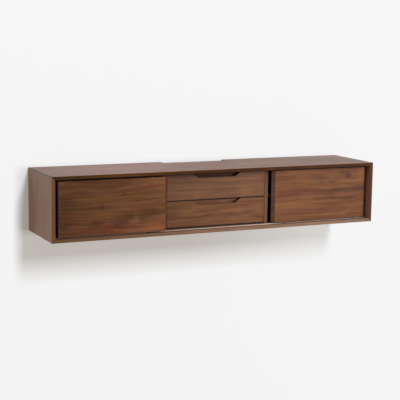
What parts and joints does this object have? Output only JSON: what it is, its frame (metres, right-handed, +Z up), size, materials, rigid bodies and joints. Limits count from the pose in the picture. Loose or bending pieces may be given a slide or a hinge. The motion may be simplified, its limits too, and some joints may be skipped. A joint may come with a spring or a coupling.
{
  "type": "floating media console",
  "caption": "Wall-hung media console: mitred walnut box on a hanging rail, bypass sliding doors on a twin track at both sides of stacked drawers with cut-out grips.",
  "frame": {"origin": "centre of the wall rail's back face, in the plane of the wall", "axes": "+X along the console to the viewer's right, +Y out of the console's back into the wall, +Z up"},
  "size_m": [1.8, 0.39, 0.32],
  "materials": {
    "walnut": "oiled walnut veneer, satin",
    "back_board": "stained back board, matt",
    "birch": "clear lacquered birch",
    "aluminium": "bronze anodised, satin",
    "steel": "zinc-plated",
    "plastic": "moulded nylon"
  },
  "bodies": {
    "box": {"top_panel": "walnut", "bottom_panel": "walnut", "left_side_panel": "walnut", "right_side_panel": "walnut", "left_divider": "walnut", "right_divider": "walnut", "back_panel": "back_board", "wall_rail": "birch", "left_hanging_cleat": "birch", "right_hanging_cleat": "birch", "floor_track": "aluminium", "head_track": "aluminium", "left_shelf": "walnut", "left_shelf_pin_outer_front": "steel", "left_shelf_pin_outer_back": "steel", "left_shelf_pin_inner_front": "steel", "left_shelf_pin_inner_back": "steel", "right_shelf": "walnut", "right_shelf_pin_outer_front": "steel", "right_shelf_pin_outer_back": "steel", "right_shelf_pin_inner_front": "steel", "right_shelf_pin_inner_back": "steel", "upper_drawer_runner_left_outer": "steel", "upper_drawer_runner_right_outer": "steel", "lower_drawer_runner_left_outer": "steel", "lower_drawer_runner_right_outer": "steel"},
    "left_door": {"left_door_panel": "walnut", "left_door_roller_housing_outer": "plastic", "left_door_roller_housing_inner": "plastic", "left_door_guide_outer": "plastic", "left_door_guide_inner": "plastic"},
    "left_door_outer_wheel": {"left_door_roller_outer": "plastic"},
    "left_door_inner_wheel": {"left_door_roller_inner": "plastic"},
    "right_door": {"right_door_panel": "walnut", "right_door_roller_housing_outer": "plastic", "right_door_roller_housing_inner": "plastic", "right_door_guide_outer": "plastic", "right_door_guide_inner": "plastic"},
    "right_door_outer_wheel": {"right_door_roller_outer": "plastic"},
    "right_door_inner_wheel": {"right_door_roller_inner": "plastic"},
    "upper_drawer": {"upper_drawer_front": "walnut", "upper_drawer_box_front": "walnut", "upper_drawer_box_side_left": "birch", "upper_drawer_box_side_right": "birch", "upper_drawer_box_back": "birch", "upper_drawer_tray": "birch", "upper_drawer_runner_left_inner": "steel", "upper_drawer_runner_right_inner": "steel"},
    "upper_drawer_runner_middles": {"upper_drawer_runner_left_middle": "steel", "upper_drawer_runner_right_middle": "steel"},
    "lower_drawer": {"lower_drawer_front": "walnut", "lower_drawer_box_front": "walnut", "lower_drawer_box_side_left": "birch", "lower_drawer_box_side_right": "birch", "lower_drawer_box_back": "birch", "lower_drawer_tray": "birch", "lower_drawer_runner_left_inner": "steel", "lower_drawer_runner_right_inner": "steel"},
    "lower_drawer_runner_middles": {"lower_drawer_runner_left_middle": "steel", "lower_drawer_runner_right_middle": "steel"}
  },
  "joints": [
    {"name": "left_door_slide", "type": "slide", "parent": "box", "child": "left_door", "axis": [1, 0, 0], "range_m": [0, 1.168]},
    {"name": "right_door_slide", "type": "slide", "parent": "box", "child": "right_door", "axis": [1, 0, 0], "range_m": [-1.168, 0]},
    {"name": "upper_drawer_slide", "type": "slide", "parent": "box", "child": "upper_drawer", "axis": [0, -1, 0], "range_m": [0, 0.22]},
    {"name": "lower_drawer_slide", "type": "slide", "parent": "box", "child": "lower_drawer", "axis": [0, -1, 0], "range_m": [0, 0.22]},
    {"name": "upper_runner_slide", "type": "slide", "parent": "box", "child": "upper_drawer_runner_middles", "axis": [0, -1, 0], "range_m": [0, 0.11]},
    {"name": "lower_runner_slide", "type": "slide", "parent": "box", "child": "lower_drawer_runner_middles", "axis": [0, -1, 0], "range_m": [0, 0.11]},
    {"name": "left_outer_wheel_spin", "type": "hinge", "parent": "left_door", "child": "left_door_outer_wheel", "pos_m": [-0.806, -0.375, -0.178], "axis": [0, 1, 0], "continuous": true},
    {"name": "left_inner_wheel_spin", "type": "hinge", "parent": "left_door", "child": "left_door_inner_wheel", "pos_m": [-0.378, -0.375, -0.178], "axis": [0, 1, 0], "continuous": true},
    {"name": "right_outer_wheel_spin", "type": "hinge", "parent": "right_door", "child": "right_door_outer_wheel", "pos_m": [0.806, -0.355, -0.178], "axis": [0, 1, 0], "continuous": true},
    {"name": "right_inner_wheel_spin", "type": "hinge", "parent": "right_door", "child": "right_door_inner_wheel", "pos_m": [0.378, -0.355, -0.178], "axis": [0, 1, 0], "continuous": true}
  ],
  "couplings": [
    {"joint": "upper_runner_slide", "follows": "upper_drawer_slide", "ratio": 0.5},
    {"joint": "lower_runner_slide", "follows": "lower_drawer_slide", "ratio": 0.5},
    {"joint": "left_outer_wheel_spin", "follows": "left_door_slide", "rad_per_m": 166.67},
    {"joint": "left_inner_wheel_spin", "follows": "left_door_slide", "rad_per_m": 166.67},
    {"joint": "right_outer_wheel_spin", "follows": "right_door_slide", "rad_per_m": 166.67},
    {"joint": "right_inner_wheel_spin", "follows": "right_door_slide", "rad_per_m": 166.67}
  ]
}
